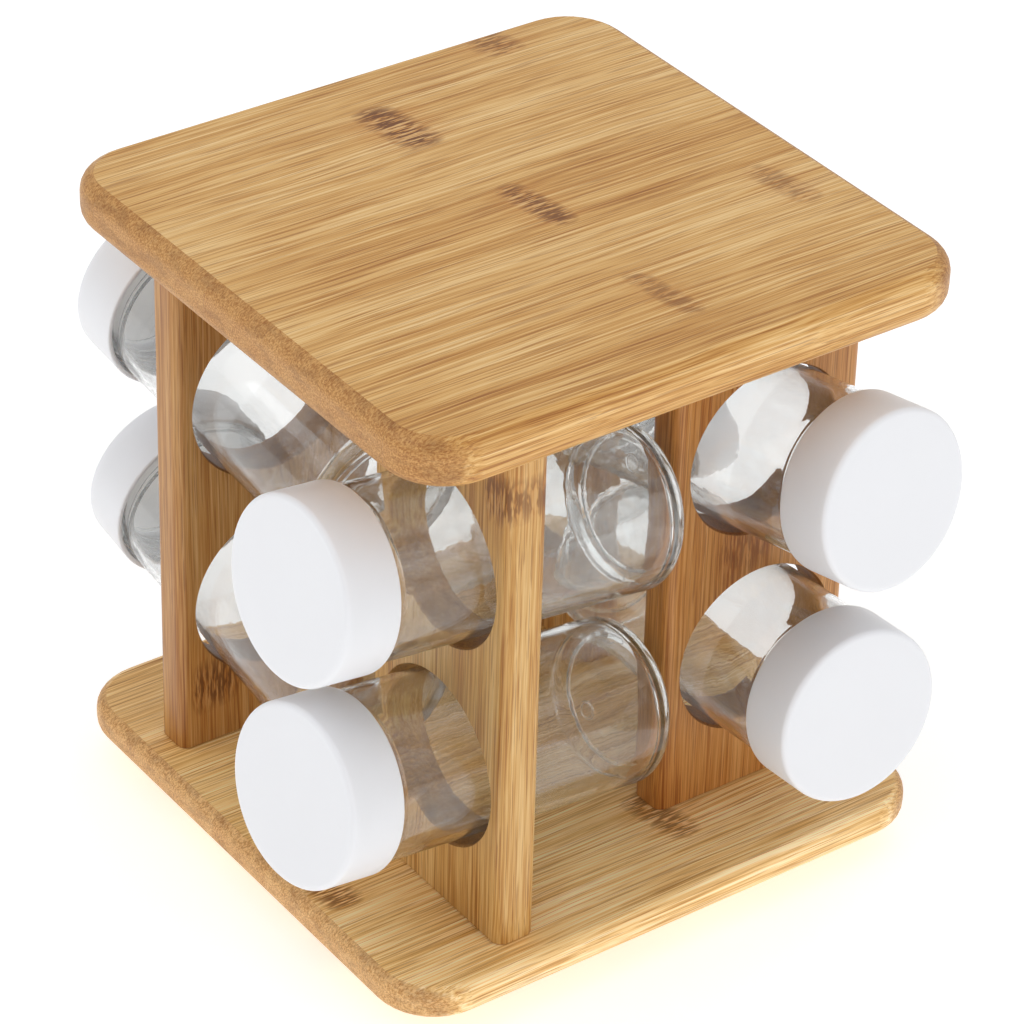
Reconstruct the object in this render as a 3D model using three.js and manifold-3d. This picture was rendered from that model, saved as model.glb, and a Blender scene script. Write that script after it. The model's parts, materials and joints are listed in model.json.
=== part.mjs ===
// Spice carousel: a bamboo rack that turns on a ball-bearing turntable and holds eight glass jars
// with screw lids. Millimetres, +Z up, origin on the floor under the axis that the rack turns about.

import * as THREE from 'three';
import { mergeVertices } from 'three/addons/utils/BufferGeometryUtils.js';
import Module from 'manifold-3d';

const wasm = await Module();
wasm.setup();

const degree = Math.PI / 180;
const quarterTurn = Math.PI / 2;

// Clearances
const seatGap = 0.05;      // glue line, or the film between two faces that are pressed together
const slipGap = 0.3;       // between pieces that slide or are dropped into each other
const screwGap = 0.15;     // round a screw's shank or a dowel

// Boards
const boardSide = 170;
const boardCorner = 18;
const topThickness = 14;
const topRound = 5;
const baseThickness = 9.5;
const baseRound = 3.5;

// Uprights: one faces each side of the rack, and they follow each other round it like a pinwheel
const uprightCount = 4;
const uprightWidth = 60;
const uprightThickness = 12;
const uprightCorner = 2.5;
const uprightInset = 32;       // board's edge to the upright's outer face
const uprightEdgeInset = 9;    // board's edge to the upright's outer edge
const belowJars = 18.8;        // wood below the lower hole
const betweenLids = 12.9;      // air between the upper and the lower lid
const aboveJars = 21.8;        // wood above the upper hole

// Jars and their lids, measured along the jar's own axis from its bottom
const jarRadius = 23;
const jarBody = 92;
const jarWall = 1.6;
const jarFloor = 3.5;
const jarPunt = 1.2;
const jarHeel = 3.5;
const jarShoulder = 2;
const neckStep = 1.4;          // how far the neck stands inside the jar's side
const neckWall = 1.8;
const threadRoom = 1.7;        // between the neck and the lid, where the screw thread runs
const lidHeight = 16.5;
const lidRimGap = 0.6;         // between a closed lid's rim and the jar's shoulder
const lidWall = 1.5;
const lidTop = 1.6;
const lidRound = 1.4;
const sealThickness = 1;
const jarStopGap = 4;          // left between a jar's bottom rim and the edge of the next upright
const fingerRoom = 8;          // least room behind a lid, in front of the upright
const jarSides = 20;           // facets round a jar, its lid and its seal

// How each jar happens to lie in its loose hole, in degrees: its lid tipped up, and swung outwards
const jarLie = [
  { upper: [8, 2], lower: [9, 4] },
  { upper: [8.5, 5], lower: [5.5, -1.5] },
  { upper: [7, 3], lower: [8, 0] },
  { upper: [8, 1.5], lower: [7.5, -1.5] },
];

// Turntable
const footCount = 4;
const footRadius = 6;
const footHeight = 2.5;
const footCircle = 41.5;
const plateRadius = 49;
const plateThickness = 1.5;
const plateSpacing = 3.4;      // air between the two plates
const ballCount = 6;
const ballCircle = 37;
const raceDepth = 0.5;
const raceHalfWidth = 1.7;
const raceFlat = 1.2;
const cageWidth = 7;
const cageThickness = 1.2;
const rivetRadius = 5;
const rivetBore = 3.4;
const rivetFlange = 8;
const rivetLip = 0.9;
const rivetRecess = 2;

// Screws and dowels
const plateScrewCount = 4;
const plateScrew = { circle: 24, shank: 1.9, head: 3.6, headHeight: 2, bite: 6.4 };
const accessHole = 4.5;        // hole in the lower plate that a screwdriver reaches through
const uprightScrew = { edge: 10, shank: 2, head: 4, headHeight: 3, bite: 22, sunk: 0.2 };
const dowel = { radius: 3, inTop: 8, inUpright: 10 };

// Worked out from the above
const neckRadius = jarRadius - neckStep;
const lidRadius = neckRadius + threadRoom + lidWall;
const lidBottom = jarBody + lidRimGap;
const sealTop = lidBottom + lidHeight - lidTop - 2 * seatGap;
const neckTop = sealTop - sealThickness - 2 * seatGap;
const steepest = Math.max(...jarLie.flatMap((lie) => Object.values(lie)).map(([tip, swing]) =>
  Math.hypot(tip, swing))) * degree;
const holeRadius = jarRadius / Math.cos(steepest) + uprightThickness / 2 * Math.tan(steepest) + slipGap;
const holePitch = 2 * lidRadius + betweenLids;
const uprightHeight = belowJars + 2 * holeRadius + holePitch + aboveJars;
const uprightFace = boardSide / 2 - uprightInset;
const uprightMiddle = uprightFace - uprightThickness / 2;
const uprightEdge = boardSide / 2 - uprightEdgeInset;
const holeOffset = uprightEdge - uprightWidth / 2;
const innerEdge = uprightEdge - uprightWidth;

const lowerPlateZ = footHeight + seatGap;
const upperPlateZ = lowerPlateZ + plateThickness + plateSpacing;
const ballZ = lowerPlateZ + plateThickness + plateSpacing / 2;
const ballRadius = plateSpacing / 2 + raceDepth - seatGap;
const baseZ = upperPlateZ + plateThickness + seatGap;
const uprightZ = baseZ + baseThickness + seatGap;
const topZ = uprightZ + uprightHeight + seatGap;
const holeHeights = {
  lower: uprightZ + belowJars + holeRadius,
  upper: uprightZ + belowJars + holeRadius + holePitch,
};

// Materials
const bamboo = { color: 0xd9a764, roughness: 0.55, metalness: 0 };
const glass = { color: 0xe6efe9, roughness: 0.05, metalness: 0 };
const whitePlastic = { color: 0xf2f2f0, roughness: 0.35, metalness: 0 };
const sealFoam = { color: 0xe4e2da, roughness: 0.8, metalness: 0 };
const zincSteel = { color: 0xb9bdc0, roughness: 0.4, metalness: 1 };
const ballSteel = { color: 0xc9ccd0, roughness: 0.15, metalness: 1 };
const cagePlastic = { color: 0x3b3f44, roughness: 0.5, metalness: 0 };
const footRubber = { color: 0x2b2b2b, roughness: 0.9, metalness: 0 };

function mesh(name, geometry, finish) {
  const made = new THREE.Mesh(geometry, new THREE.MeshStandardMaterial(finish));
  made.name = name;
  return made;
}

function solid(geometry) {
  const bare = geometry.clone();
  bare.deleteAttribute('normal');
  bare.deleteAttribute('uv');
  const merged = mergeVertices(bare, 1e-4);
  return new wasm.Manifold(new wasm.Mesh({
    numProp: 3,
    vertProperties: new Float32Array(merged.attributes.position.array),
    triVerts: new Uint32Array(merged.index.array),
  }));
}

// The geometry with every cutter taken away
function cut(geometry, cutters) {
  let body = solid(geometry);
  for (const cutter of cutters) {
    body = body.subtract(solid(cutter));
  }
  const result = body.getMesh();
  const made = new THREE.BufferGeometry();
  made.setAttribute('position', new THREE.BufferAttribute(result.vertProperties, 3));
  made.setIndex(new THREE.BufferAttribute(result.triVerts, 1));
  made.computeVertexNormals();
  return made;
}

// A profile of [radius, height] points turned about Z
function turned(profile, segments) {
  const points = profile.map(([radius, height]) => new THREE.Vector2(radius, height));
  return new THREE.LatheGeometry(points, segments).rotateX(quarterTurn);
}

function turnedRing(profile, segments) {
  return turned([...profile, profile[0]], segments);
}

function rod(radius, bottom, top, segments) {
  return turned([[0, bottom], [radius, bottom], [radius, top], [0, top]], segments);
}

function roundedRectangle(width, depth, corner) {
  const [x, y] = [width / 2, depth / 2];
  const shape = new THREE.Shape();
  shape.moveTo(-x + corner, -y);
  shape.absarc(x - corner, -y + corner, corner, -quarterTurn, 0);
  shape.absarc(x - corner, y - corner, corner, 0, quarterTurn);
  shape.absarc(-x + corner, y - corner, corner, quarterTurn, 2 * quarterTurn);
  shape.absarc(-x + corner, -y + corner, corner, 2 * quarterTurn, 3 * quarterTurn);
  return shape;
}

// A square board with its underside at z = 0 and a quarter-round along both its edges
function board(thickness, round) {
  const outline = roundedRectangle(boardSide, boardSide, boardCorner);
  const geometry = new THREE.ExtrudeGeometry(outline, {
    depth: thickness - 2 * round,
    bevelThickness: round,
    bevelSize: round,
    bevelOffset: -round,
    bevelSegments: 3,
    curveSegments: 3,
  });
  return geometry.translate(0, 0, round);
}

// Places spaced evenly on a circle
function onCircle(count, radius, start) {
  return Array.from({ length: count }, (_, i) => {
    const angle = start + i * 2 * Math.PI / count;
    return new THREE.Vector2(radius * Math.cos(angle), radius * Math.sin(angle));
  });
}

// A place seen from one side of the rack, turned to where it is on side k
function onSide(k, x, y) {
  return new THREE.Vector2(x, y).rotateAround(new THREE.Vector2(), k * quarterTurn);
}

const plateScrewPlaces = onCircle(plateScrewCount, plateScrew.circle, quarterTurn / 2);
const screwSpread = uprightWidth / 2 - uprightScrew.edge;
const uprightScrewXs = [holeOffset - screwSpread, holeOffset + screwSpread];

function topBoard() {
  const dowelHole = rod(dowel.radius + screwGap, -1, dowel.inTop + slipGap, 12);
  const cutters = [];
  for (let k = 0; k < uprightCount; k++) {
    const place = onSide(k, holeOffset, -uprightMiddle);
    cutters.push(dowelHole.clone().translate(place.x, place.y, 0));
  }
  const made = mesh('top_board', cut(board(topThickness, topRound), cutters), bamboo);
  made.position.z = topZ;
  return made;
}

function baseBoard() {
  const { shank, head, headHeight, sunk } = uprightScrew;
  const countersink = turned([
    [0, -1],
    [head + slipGap, -1],
    [head + slipGap, sunk],
    [shank + screwGap, sunk + headHeight],
    [shank + screwGap, baseThickness + 1],
    [0, baseThickness + 1],
  ], 12);
  const pilot = rod(plateScrew.shank + screwGap, -1, plateScrew.bite + slipGap, 10);
  const cutters = [rod(rivetFlange + 1, -1, rivetRecess, 16)];
  for (const place of plateScrewPlaces) {
    cutters.push(pilot.clone().translate(place.x, place.y, 0));
  }
  for (let k = 0; k < uprightCount; k++) {
    for (const x of uprightScrewXs) {
      const place = onSide(k, x, -uprightMiddle);
      cutters.push(countersink.clone().translate(place.x, place.y, 0));
    }
  }
  const made = mesh('base_board', cut(board(baseThickness, baseRound), cutters), bamboo);
  made.position.z = baseZ;
  return made;
}

// An upright stands on z = 0 with its hole centres on x = 0 and its mid-plane on y = 0
function upright(name) {
  const outline = roundedRectangle(uprightWidth, uprightThickness, uprightCorner);
  const blank = new THREE.ExtrudeGeometry(outline, {
    depth: uprightHeight,
    bevelEnabled: false,
    curveSegments: 1,
  });
  const jarHole = rod(holeRadius, -uprightThickness, uprightThickness, 28).rotateX(quarterTurn);
  const screwHole = rod(uprightScrew.shank + screwGap, -1, uprightScrew.bite + 1, 12);
  const dowelHole = rod(dowel.radius + screwGap, -dowel.inUpright - slipGap, 1, 12);
  const cutters = [
    jarHole.clone().translate(0, 0, holeHeights.lower - uprightZ),
    jarHole.clone().translate(0, 0, holeHeights.upper - uprightZ),
    dowelHole.translate(0, 0, uprightHeight),
    screwHole.clone().translate(-screwSpread, 0, 0),
    screwHole.clone().translate(screwSpread, 0, 0),
  ];
  const made = mesh(name, cut(blank, cutters), bamboo);
  made.position.set(holeOffset, -uprightMiddle, uprightZ);
  return made;
}

function jar(name) {
  const bore = jarRadius - jarWall;
  const neckBore = neckRadius - neckWall;
  return mesh(name, turned([
    [0, jarPunt],
    [jarRadius - 2 * jarHeel, jarPunt],
    [jarRadius - jarHeel, 0],
    [jarRadius, jarHeel],
    [jarRadius, jarBody - jarShoulder],
    [neckRadius, jarBody],
    [neckRadius, neckTop],
    [neckBore, neckTop],
    [neckBore, jarBody],
    [bore, jarBody - jarShoulder - neckWall],
    [bore, jarFloor + jarHeel],
    [bore - jarHeel, jarFloor],
    [0, jarFloor],
  ], jarSides), glass);
}

function seal(name) {
  const made = mesh(name, rod(lidRadius - lidWall - slipGap, 0, sealThickness, jarSides), sealFoam);
  made.position.z = sealTop - sealThickness;
  return made;
}

function lid(name) {
  const bore = lidRadius - lidWall;
  const made = mesh(name, turned([
    [0, lidHeight],
    [lidRadius - lidRound, lidHeight],
    [lidRadius, lidHeight - lidRound],
    [lidRadius, 0],
    [bore, 0],
    [bore, lidHeight - lidTop],
    [0, lidHeight - lidTop],
  ].reverse(), jarSides), whitePlastic);
  made.position.z = lidBottom;
  return made;
}

// One jar with its lid and seal, lying through its hole; its own axis is the group's Z. It lies as
// deep as the edge of the next upright lets it, or as the upright's face lets its lid.
function lyingJar(k, level) {
  const [tip, swing] = jarLie[k][level].map((angle) => angle * degree);
  const bottomY = innerEdge - jarStopGap - jarRadius * Math.sin(tip);
  const toNextUpright = (bottomY + uprightMiddle) / (Math.cos(tip) * Math.cos(swing));
  const toFace = lidBottom - fingerRoom - uprightThickness / 2 - lidRadius * Math.tan(steepest);
  const depth = Math.min(toNextUpright, toFace);
  const label = `${k + 1}_${level}`;
  const shifted = new THREE.Group();
  shifted.add(jar(`jar_${label}`), seal(`seal_${label}`), lid(`lid_${label}`));
  shifted.position.z = -depth;
  const axis = new THREE.Group();
  axis.add(shifted);
  axis.rotation.set(quarterTurn - tip, 0, swing, 'ZXY');
  axis.position.set(holeOffset, -uprightMiddle, holeHeights[level]);
  return axis;
}

function uprightScrews(k) {
  const { shank, head, headHeight, bite, sunk } = uprightScrew;
  const tip = baseThickness + seatGap + bite;
  const shape = turned([
    [0, sunk],
    [head, sunk],
    [shank, sunk + headHeight],
    [shank, tip - 2 * shank],
    [0, tip],
  ], 10);
  return uprightScrewXs.map((x, i) => {
    const made = mesh(`upright_screw_${k + 1}_${i + 1}`, shape, zincSteel);
    made.position.set(x, -uprightMiddle, baseZ);
    return made;
  });
}

function uprightDowel(k) {
  const geometry = rod(dowel.radius, -dowel.inUpright, dowel.inTop, 12);
  const made = mesh(`dowel_${k + 1}`, geometry, bamboo);
  made.position.set(holeOffset, -uprightMiddle, topZ);
  return made;
}

// A turntable plate from z = 0 up, with the ball race rolled into its upper side
function plate(radius) {
  return turnedRing([
    [rivetRadius + slipGap, 0],
    [radius, 0],
    [radius, plateThickness],
    [ballCircle + raceHalfWidth, plateThickness],
    [ballCircle + raceFlat, plateThickness - raceDepth],
    [ballCircle - raceFlat, plateThickness - raceDepth],
    [ballCircle - raceHalfWidth, plateThickness],
    [rivetRadius + slipGap, plateThickness],
  ], 28);
}

function turntable() {
  const access = rod(accessHole, -1, plateThickness + 1, 12);
  access.translate(plateScrewPlaces[0].x, plateScrewPlaces[0].y, 0);
  const lower = mesh('turntable_lower_plate', cut(plate(plateRadius), [access]), zincSteel);
  lower.position.z = lowerPlateZ;

  const screwHole = rod(plateScrew.shank + screwGap, -1, plateThickness + 1, 10);
  const holes = plateScrewPlaces.map((place) => screwHole.clone().translate(place.x, place.y, 0));
  const flipped = plate(plateRadius).rotateX(2 * quarterTurn).translate(0, 0, plateThickness);
  const upper = mesh('turntable_upper_plate', cut(flipped, holes), zincSteel);
  upper.position.z = upperPlateZ;

  const bottom = lowerPlateZ - seatGap;
  const top = upperPlateZ + plateThickness + 3 * seatGap;
  const rivet = mesh('turntable_rivet', turnedRing([
    [rivetBore, bottom - rivetLip],
    [rivetFlange, bottom - rivetLip],
    [rivetFlange, bottom],
    [rivetRadius, bottom],
    [rivetRadius, top],
    [rivetFlange, top],
    [rivetFlange, top + rivetLip],
    [rivetBore, top + rivetLip],
  ], 16), zincSteel);
  return [lower, upper, rivet];
}

function ballBearing() {
  const places = onCircle(ballCount, ballCircle, 0);
  const pocket = rod(ballRadius + slipGap, -cageThickness, cageThickness, 12);
  const ring = turnedRing([
    [ballCircle - cageWidth / 2, -cageThickness / 2],
    [ballCircle + cageWidth / 2, -cageThickness / 2],
    [ballCircle + cageWidth / 2, cageThickness / 2],
    [ballCircle - cageWidth / 2, cageThickness / 2],
  ], 28);
  const pockets = places.map((place) => pocket.clone().translate(place.x, place.y, 0));
  const cage = mesh('ball_cage', cut(ring, pockets), cagePlastic);
  cage.position.z = ballZ;
  const balls = places.map((place, i) => {
    const ball = mesh(`ball_${i + 1}`, new THREE.SphereGeometry(ballRadius, 8, 6), ballSteel);
    ball.rotation.x = quarterTurn;
    ball.position.set(place.x, place.y, ballZ);
    return ball;
  });
  return [cage, ...balls];
}

function feet() {
  const geometry = turned([
    [0, 0],
    [footRadius - 0.6, 0],
    [footRadius, 0.6],
    [footRadius, footHeight],
    [0, footHeight],
  ], 12);
  return onCircle(footCount, footCircle, 0).map((place, i) => {
    const foot = mesh(`foot_${i + 1}`, geometry, footRubber);
    foot.position.set(place.x, place.y, 0);
    return foot;
  });
}

function plateScrews() {
  const { shank, head, headHeight, bite } = plateScrew;
  const under = upperPlateZ - seatGap;
  const tip = baseZ + bite;
  const geometry = turned([
    [0, under - headHeight],
    [head - 0.8, under - headHeight],
    [head, under - headHeight / 2],
    [head, under],
    [shank, under],
    [shank, tip - shank],
    [0, tip],
  ], 10);
  return plateScrewPlaces.map((place, i) => {
    const screw = mesh(`plate_screw_${i + 1}`, geometry, zincSteel);
    screw.position.set(place.x, place.y, 0);
    return screw;
  });
}

const carousel = new THREE.Group();
carousel.add(...feet(), ...turntable(), ...ballBearing(), ...plateScrews(), baseBoard(), topBoard());
for (let k = 0; k < uprightCount; k++) {
  const side = new THREE.Group();
  side.rotation.z = k * quarterTurn;
  side.add(upright(`upright_${k + 1}`), uprightDowel(k), ...uprightScrews(k));
  side.add(lyingJar(k, 'upper'), lyingJar(k, 'lower'));
  carousel.add(side);
}

export default carousel;
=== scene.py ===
# Spice carousel: a turning bamboo rack with eight glass jars. Outlines are in millimetres.

import json
import math

import bmesh
import bpy
from mathutils import Matrix, Vector, noise


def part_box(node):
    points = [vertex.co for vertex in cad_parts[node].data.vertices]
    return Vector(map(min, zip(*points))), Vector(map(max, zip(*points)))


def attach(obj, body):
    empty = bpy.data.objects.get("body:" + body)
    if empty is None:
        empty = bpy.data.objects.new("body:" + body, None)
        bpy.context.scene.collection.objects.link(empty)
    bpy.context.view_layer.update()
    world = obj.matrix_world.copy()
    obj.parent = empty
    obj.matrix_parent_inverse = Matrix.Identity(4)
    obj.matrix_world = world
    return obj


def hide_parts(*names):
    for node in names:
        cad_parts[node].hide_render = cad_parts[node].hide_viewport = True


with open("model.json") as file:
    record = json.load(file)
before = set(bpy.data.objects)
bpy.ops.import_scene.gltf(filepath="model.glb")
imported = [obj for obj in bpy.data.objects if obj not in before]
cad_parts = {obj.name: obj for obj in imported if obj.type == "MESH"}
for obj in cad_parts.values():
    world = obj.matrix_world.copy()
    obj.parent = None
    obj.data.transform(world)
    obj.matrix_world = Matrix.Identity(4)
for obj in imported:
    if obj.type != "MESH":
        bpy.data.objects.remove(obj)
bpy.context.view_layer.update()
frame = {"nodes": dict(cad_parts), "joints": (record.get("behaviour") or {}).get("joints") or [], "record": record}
scene = bpy.context.scene

millimetre = 0.001
circle = 2 * math.pi
record = frame["record"]
jointOf = {joint["name"]: joint for joint in frame["joints"]}
bodyOf = {node: body for body, nodes in record["behaviour"]["bodies"].items() for node in nodes}
jarLabels = [f"{side}_{level}" for side in (1, 2, 3, 4) for level in ("upper", "lower")]


# A shader socket that plain arithmetic works on
class Value:
    def __init__(self, look, socket):
        self.look = look
        self.socket = socket

    def also(self, output):
        return Value(self.look, self.socket.node.outputs[output])

    def worked(self, operation, *values):
        return self.look.node("ShaderNodeMath", {"operation": operation}, values)

    def __add__(self, other):
        return self.worked("ADD", self, other)

    def __radd__(self, other):
        return self.worked("ADD", other, self)

    def __sub__(self, other):
        return self.worked("SUBTRACT", self, other)

    def __rsub__(self, other):
        return self.worked("SUBTRACT", other, self)

    def __mul__(self, other):
        return self.worked("MULTIPLY", self, other)

    def __rmul__(self, other):
        return self.worked("MULTIPLY", other, self)

    def __truediv__(self, other):
        return self.worked("DIVIDE", self, other)

    def __rtruediv__(self, other):
        return self.worked("DIVIDE", other, self)

    def __pow__(self, other):
        return self.worked("POWER", self, other)

    def __rpow__(self, other):
        return self.worked("POWER", other, self)

    def __abs__(self):
        return self.worked("ABSOLUTE", self)


# A material under construction
class Look:
    def __init__(self, name):
        self.material = bpy.data.materials.new(name)
        self.material.use_nodes = True
        self.tree = self.material.node_tree
        self.tree.nodes.clear()

    def node(self, kind, settings, inputs, output=0):
        made = self.tree.nodes.new(kind)
        for setting, value in settings.items():
            if setting == "stops":
                elements = made.color_ramp.elements
                for _ in value[2:]:
                    elements.new(1)
                for element, (position, colour) in zip(elements, value):
                    element.position = position
                    element.color = colour
            else:
                setattr(made, setting, value)
        pairs = inputs.items() if isinstance(inputs, dict) else enumerate(inputs)
        for key, value in pairs:
            if isinstance(value, Value):
                self.tree.links.new(value.socket, made.inputs[key])
            else:
                made.inputs[key].default_value = value
        return Value(self, made.outputs[output]) if made.outputs else None

    # The spot on the piece, in millimetres
    def place(self):
        spot = self.node("ShaderNodeTexCoord", {}, {}, "Object")
        split = self.node("ShaderNodeSeparateXYZ", {}, [spot])
        return {axis: split.also(axis) * (1 / millimetre) for axis in "XYZ"}

    def vector(self, x, y, z):
        return self.node("ShaderNodeCombineXYZ", {}, [x, y, z])

    def grainy(self, vector, scale, detail=3, roughness=0.5):
        sockets = {"Vector": vector, "Scale": scale, "Detail": detail, "Roughness": roughness}
        return self.node("ShaderNodeTexNoise", {}, sockets)

    # 0 below low, 1 above high, and smooth between them
    def stepped(self, value, low, high):
        sockets = {"Value": value, "From Min": low, "From Max": high}
        return self.node("ShaderNodeMapRange", {"interpolation_type": "SMOOTHSTEP"}, sockets)

    def mixed(self, factor, first, second, blend="MIX"):
        settings = {"data_type": "RGBA", "blend_type": blend}
        return self.node("ShaderNodeMix", settings, {0: factor, 6: first, 7: second}, 2)

    def bumped(self, height, distance, strength=1.0):
        sockets = {"Height": height, "Distance": distance * millimetre, "Strength": strength}
        return self.node("ShaderNodeBump", {}, sockets)

    def surfaced(self, sockets):
        shader = self.node("ShaderNodeBsdfPrincipled", {}, sockets)
        self.node("ShaderNodeOutputMaterial", {}, {"Surface": shader})
        return self.material


# A display colour, 0 to 255 a channel, as the linear one that sockets take
def paint(*channels):
    parts = [channel / 255 for channel in channels]
    linear = [p / 12.92 if p <= 0.04045 else ((p + 0.055) / 1.055) ** 2.4 for p in parts]
    return (*linear, 1)


# An outline with its corners rounded. A corner is (x, y) or (x, y, radius).
def rounded(corners, steps=6, closed=False):
    points = []
    for i, corner in enumerate(corners):
        here = Vector(corner[:2])
        atEnd = not closed and i in (0, len(corners) - 1)
        if len(corner) == 2 or atEnd:
            points.append(tuple(here))
            continue
        back = (Vector(corners[i - 1][:2]) - here).normalized()
        ahead = (Vector(corners[(i + 1) % len(corners)][:2]) - here).normalized()
        half = back.angle(ahead) / 2
        centre = here + (back + ahead).normalized() * corner[2] / math.sin(half)
        start = here + back * corner[2] / math.tan(half) - centre
        end = here + ahead * corner[2] / math.tan(half) - centre
        for step in range(steps + 1):
            points.append(tuple(centre + start.slerp(end, step / steps) * corner[2]))
    return points


# The outline with points added so that none of its steps is longer than spacing
def divided(outline, spacing):
    points = [outline[0]]
    for start, end in zip(outline, outline[1:]):
        pieces = max(1, math.ceil((Vector(end) - Vector(start)).length / spacing))
        for piece in range(1, pieces + 1):
            points.append(tuple(Vector(start).lerp(Vector(end), piece / pieces)))
    return points


def joined(mesh, rows, closedRows=False):
    pairs = list(zip(rows, rows[1:]))
    if closedRows:
        pairs.append((rows[-1], rows[0]))
    for lower, upper in pairs:
        count = max(len(lower), len(upper))
        for i in range(count):
            j = (i + 1) % count
            if len(lower) == 1:
                mesh.faces.new((lower[0], upper[j], upper[i]))
            elif len(upper) == 1:
                mesh.faces.new((lower[i], lower[j], upper[0]))
            else:
                mesh.faces.new((lower[i], lower[j], upper[j], upper[i]))


# An outline of (radius, height) points turned about Z. shape(radius, height, index) may move a
# point of the turned row.
def spun(outline, sides, shape=None, closed=False):
    mesh = bmesh.new()
    rows = []
    for radius, height in outline:
        if radius < 1e-6:
            rows.append([mesh.verts.new((0, 0, height))])
            continue
        row = []
        for i in range(sides):
            r, z = shape(radius, height, i) if shape else (radius, height)
            angle = circle * i / sides
            row.append(mesh.verts.new((r * math.cos(angle), r * math.sin(angle), z)))
        rows.append(row)
    joined(mesh, rows, closed)
    bmesh.ops.recalc_face_normals(mesh, faces=mesh.faces)
    return mesh


# A rounded rectangle at every (inset, height) of a profile, closed at both ends
def slab(width, depth, corner, profile, steps=9):
    mesh = bmesh.new()
    rows = []
    for inset, height in profile:
        radius = max(corner - inset, 0.2)
        row = []
        for turn, (sx, sy) in enumerate(((1, 1), (-1, 1), (-1, -1), (1, -1))):
            cx = sx * (width / 2 - inset - radius)
            cy = sy * (depth / 2 - inset - radius)
            for step in range(steps + 1):
                angle = circle / 4 * (turn + step / steps)
                spot = (cx + radius * math.cos(angle), cy + radius * math.sin(angle), height)
                row.append(mesh.verts.new(spot))
        rows.append(row)
    joined(mesh, rows)
    mesh.faces.new(reversed(rows[0]))
    mesh.faces.new(rows[-1])
    bmesh.ops.recalc_face_normals(mesh, faces=mesh.faces)
    return mesh


def asObject(name, mesh, matrix=Matrix.Identity(4)):
    mesh.transform(Matrix.Scale(millimetre, 4) @ matrix)
    data = bpy.data.meshes.new(name)
    mesh.to_mesh(data)
    mesh.free()
    made = bpy.data.objects.new(name, data)
    scene.collection.objects.link(made)
    return made


# Takes the cutters away from a piece, or adds them to it
def carved(made, cutters, operation="DIFFERENCE"):
    for cutter in cutters:
        modifier = made.modifiers.new("Carve", "BOOLEAN")
        modifier.operation = operation
        modifier.solver = "EXACT"
        modifier.object = cutter
    bpy.context.view_layer.update()
    result = made.evaluated_get(bpy.context.evaluated_depsgraph_get())
    data = bpy.data.meshes.new_from_object(result)
    made.modifiers.clear()
    made.data = data
    for cutter in cutters:
        bpy.data.objects.remove(cutter)
    return made


# Gives a piece its shading and material and ties it to the CAD nodes that it stands for
def settled(made, node, material, crease=30, weighted=False):
    made.data.materials.clear()
    made.data.materials.append(material)
    made.data.shade_smooth()
    made.data.set_sharp_from_angle(angle=math.radians(crease))
    if weighted:
        modifier = made.modifiers.new("Flat faces", "WEIGHTED_NORMAL")
        modifier.keep_sharp = True
    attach(made, bodyOf[node])
    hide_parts(node)
    return made


# A copy of a pattern piece at another place
def copied(pattern, name, matrix):
    made = bpy.data.objects.new(name, pattern.data.copy())
    made.data.name = name
    made.data.transform(matrix)
    scene.collection.objects.link(made)
    return made


def moved(x, y, z):
    return Matrix.Translation((x, y, z))


# A CAD node's box in millimetres: centre and size
def placeOf(node):
    low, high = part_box(node)
    return (low + high) / 2 / millimetre, (high - low) / millimetre


# From a jar's own axis to where that jar lies, turned about its axis by spin
def jarPlace(label, spin=0.0):
    joint = jointOf[f"lid_{label}_turn"]
    axis = Vector(joint["axis"])
    aim = axis.to_track_quat("Z", "Y").to_matrix().to_4x4()
    return Matrix.Translation(joint["pos_m"]) @ aim @ Matrix.Rotation(spin, 4, "Z")


# The wood of the boards and panels. A grain is how far the spot is squeezed across the strips,
# through them and along them, then the noise's scale, detail and roughness.
bambooLook = {
    "stripWidth": 26.5,
    "seam": 0.22,
    "seamDark": 0.3,
    "sway": 1.7,
    "swayGrain": (0.03, 0.011),
    "grains": {
        "bands": (0.17, 0.12, 0.0045, 1, 3, 0.55),
        "lines": (1, 0.8, 0.011, 1.35, 3, 0.75),
        "pores": (1, 1, 0.016, 2.4, 2, 0.6),
        "clouds": (0.02, 0.02, 0.02, 1, 2, 0.5),
        "dashes": (1.6, 0.5, 0.16, 1, 2, 0.55),
        "dots": (1, 1, 0.05, 2.1, 3, 0.7),
        "patches": (0.12, 0.3, 0.1, 1, 3, 0.6),
    },
    "tone": 0.56,
    "stripTone": 0.18,
    "bandTone": 0.62,
    "lineTone": 1.6,
    "cloudTone": 0.22,
    "poreStep": (0.37, 0.46),
    "poreDark": 0.55,
    "knotSkew": -0.13,
    "knotFill": 1.15,
    "smearReach": 0.22,
    "smearTone": 0.6,
    "knotTone": 0.5,
    "dashDark": 0.88,
    "dashPale": 0.55,
    "endFacing": (0.16, 0.46),
    "endDark": 0.85,
    "endDots": 0.62,
    "patchDark": 0.35,
    "roughness": 0.42,
    "coat": 0.12,
    "bump": 0.1,
    "deepest": paint(148, 92, 38),
    "amber": paint(190, 139, 72),
    "straw": paint(216, 175, 114),
    "pale": paint(234, 204, 156),
    "fibre": paint(148, 94, 40),
    "knot": paint(100, 54, 16),
    "smear": paint(184, 122, 54),
    "endGrain": paint(200, 166, 122),
    "endPale": paint(210, 168, 112),
    "endDeep": paint(152, 102, 52),
}


def woodGrain(look, name, spot, offset=0.0):
    *squeeze, scale, detail, roughness = bambooLook["grains"][name]
    x, y, z = (part if share == 1 else part * share for part, share in zip(spot, squeeze))
    return look.grainy(look.vector(x, y, z + offset if offset else z), scale, detail, roughness)


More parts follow.
